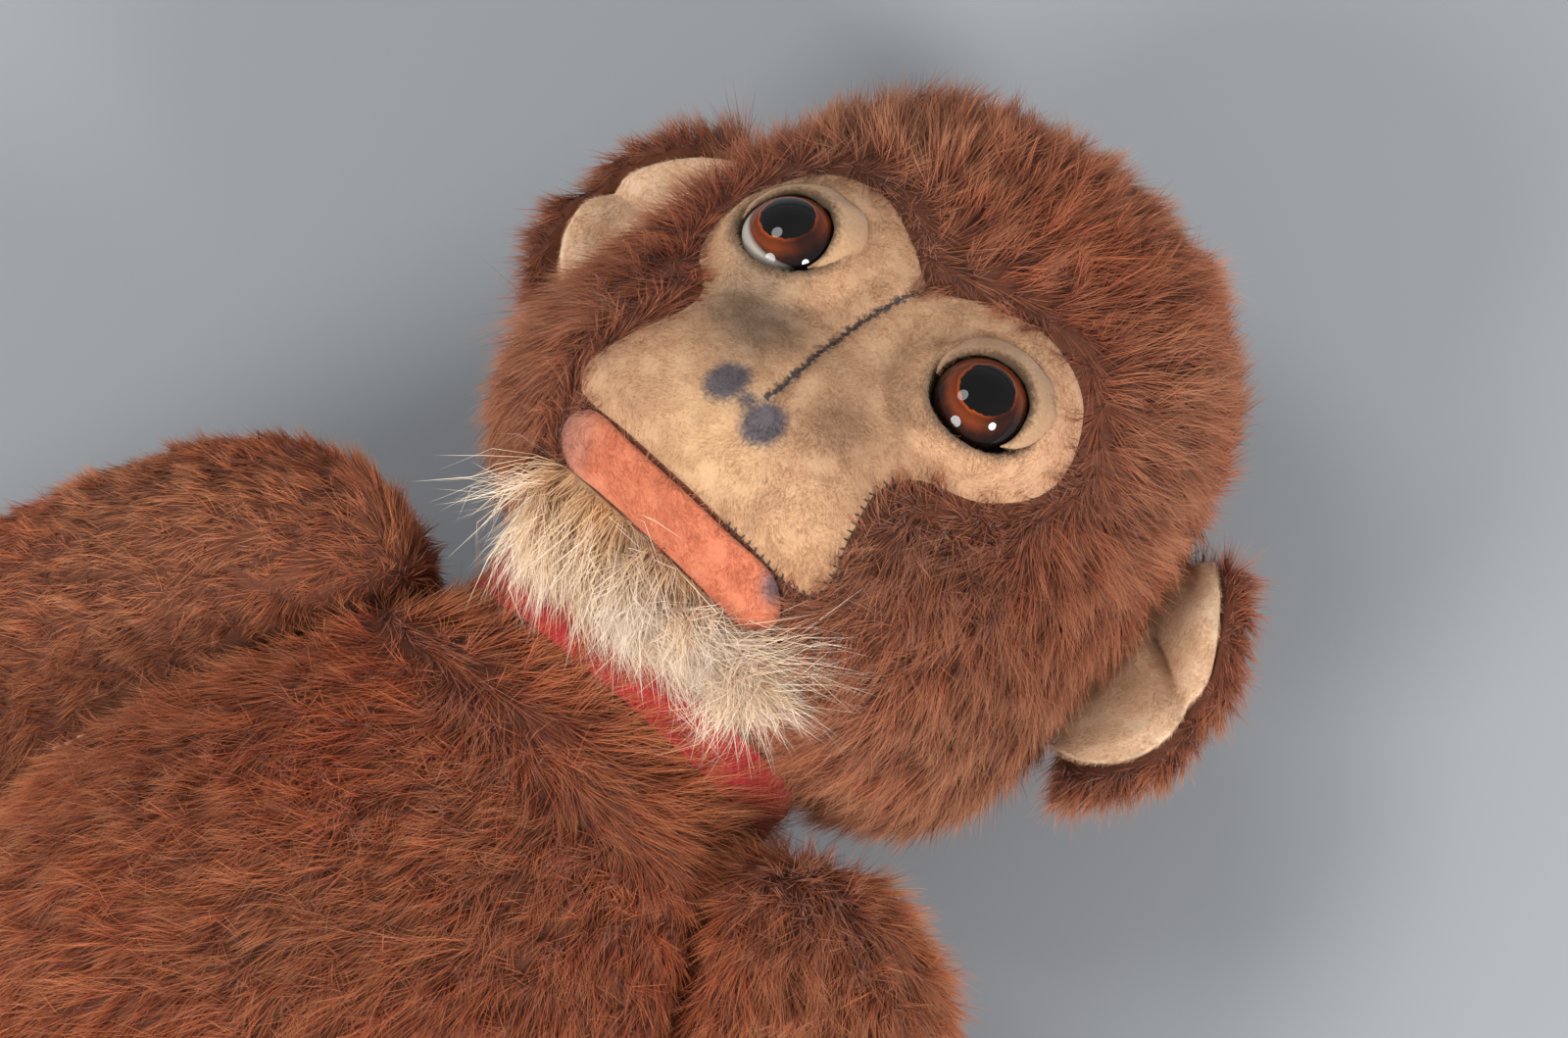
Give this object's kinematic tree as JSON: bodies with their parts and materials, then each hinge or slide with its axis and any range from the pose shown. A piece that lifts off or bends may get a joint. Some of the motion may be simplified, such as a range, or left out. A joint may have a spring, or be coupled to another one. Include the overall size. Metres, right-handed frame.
{
  "type": "jointed mohair toy monkey",
  "caption": "Worn jointed mohair toy chimpanzee lying on its back, with a felt face, glass eyes, felt-lined ears and a red cloth collar. Head, arms and legs turn on disc joints.",
  "frame": {"origin": "middle of the small flat spot on the toy's back", "axes": "+Y from the feet towards the head, +Z out of the toy's front, +X to the toy's left"},
  "size_m": [0.3451, 0.4418, 0.1135],
  "materials": {
    "mohair": "reddish brown mohair pile, matted and worn",
    "worn_mohair": "brown mohair worn down to a short velvety pile",
    "cream_mohair": "cream silky mohair",
    "tan_felt": "tan wool felt, soiled",
    "coral_felt": "faded coral felt",
    "cream_felt": "cream felt",
    "grey_felt": "greyish felt",
    "amber_glass": "amber glass with a black pupil, glossy",
    "red_tape": "red cotton twill tape",
    "hardboard": "pressed fibre board",
    "steel": "plain steel, dull"
  },
  "bodies": {
    "torso_body": {"torso": "mohair", "collar": "red_tape", "neck_torso_disc": "hardboard", "neck_torso_washer": "steel", "neck_pin": "steel", "shoulder_left_torso_disc": "hardboard", "shoulder_left_torso_washer": "steel", "shoulder_left_pin": "steel", "hip_left_torso_disc": "hardboard", "hip_left_torso_washer": "steel", "hip_left_pin": "steel", "shoulder_right_torso_disc": "hardboard", "shoulder_right_torso_washer": "steel", "shoulder_right_pin": "steel", "hip_right_torso_disc": "hardboard", "hip_right_torso_washer": "steel", "hip_right_pin": "steel"},
    "head_body": {"head": "mohair", "face_mask": "tan_felt", "upper_lip": "coral_felt", "chin": "cream_mohair", "eye_left": "amber_glass", "eye_wire_left": "steel", "eyelid_left": "grey_felt", "ear_back_left": "mohair", "ear_lining_left": "cream_felt", "eye_right": "amber_glass", "eye_wire_right": "steel", "eyelid_right": "grey_felt", "ear_back_right": "mohair", "ear_lining_right": "cream_felt", "neck_limb_disc": "hardboard", "neck_limb_washer": "steel"},
    "left_arm": {"arm_left": "mohair", "hand_left": "tan_felt", "shoulder_left_limb_disc": "hardboard", "shoulder_left_limb_washer": "steel"},
    "right_arm": {"arm_right": "worn_mohair", "hand_right": "tan_felt", "shoulder_right_limb_disc": "hardboard", "shoulder_right_limb_washer": "steel"},
    "left_leg": {"leg_left": "mohair", "foot_left": "tan_felt", "hip_left_limb_disc": "hardboard", "hip_left_limb_washer": "steel"},
    "right_leg": {"leg_right": "mohair", "foot_right": "tan_felt", "hip_right_limb_disc": "hardboard", "hip_right_limb_washer": "steel"}
  },
  "joints": [
    {"name": "neck_swivel", "type": "hinge", "parent": "torso_body", "child": "head_body", "pos_m": [0, 0.0883, 0.0505], "axis": [0, 1, 0], "continuous": true},
    {"name": "shoulder_left", "type": "hinge", "parent": "torso_body", "child": "left_arm", "pos_m": [0.046, 0.055, 0.058], "axis": [-0.8988, -0.4384, 0], "range_deg": [-50, 95]},
    {"name": "shoulder_right", "type": "hinge", "parent": "torso_body", "child": "right_arm", "pos_m": [-0.046, 0.055, 0.058], "axis": [-0.8988, 0.4384, 0], "range_deg": [-50, 95]},
    {"name": "hip_left", "type": "hinge", "parent": "torso_body", "child": "left_leg", "pos_m": [0.05, -0.062, 0.045], "axis": [-1, 0, 0], "range_deg": [-30, 90]},
    {"name": "hip_right", "type": "hinge", "parent": "torso_body", "child": "right_leg", "pos_m": [-0.05, -0.062, 0.045], "axis": [-1, 0, 0], "range_deg": [-30, 90]}
  ]
}
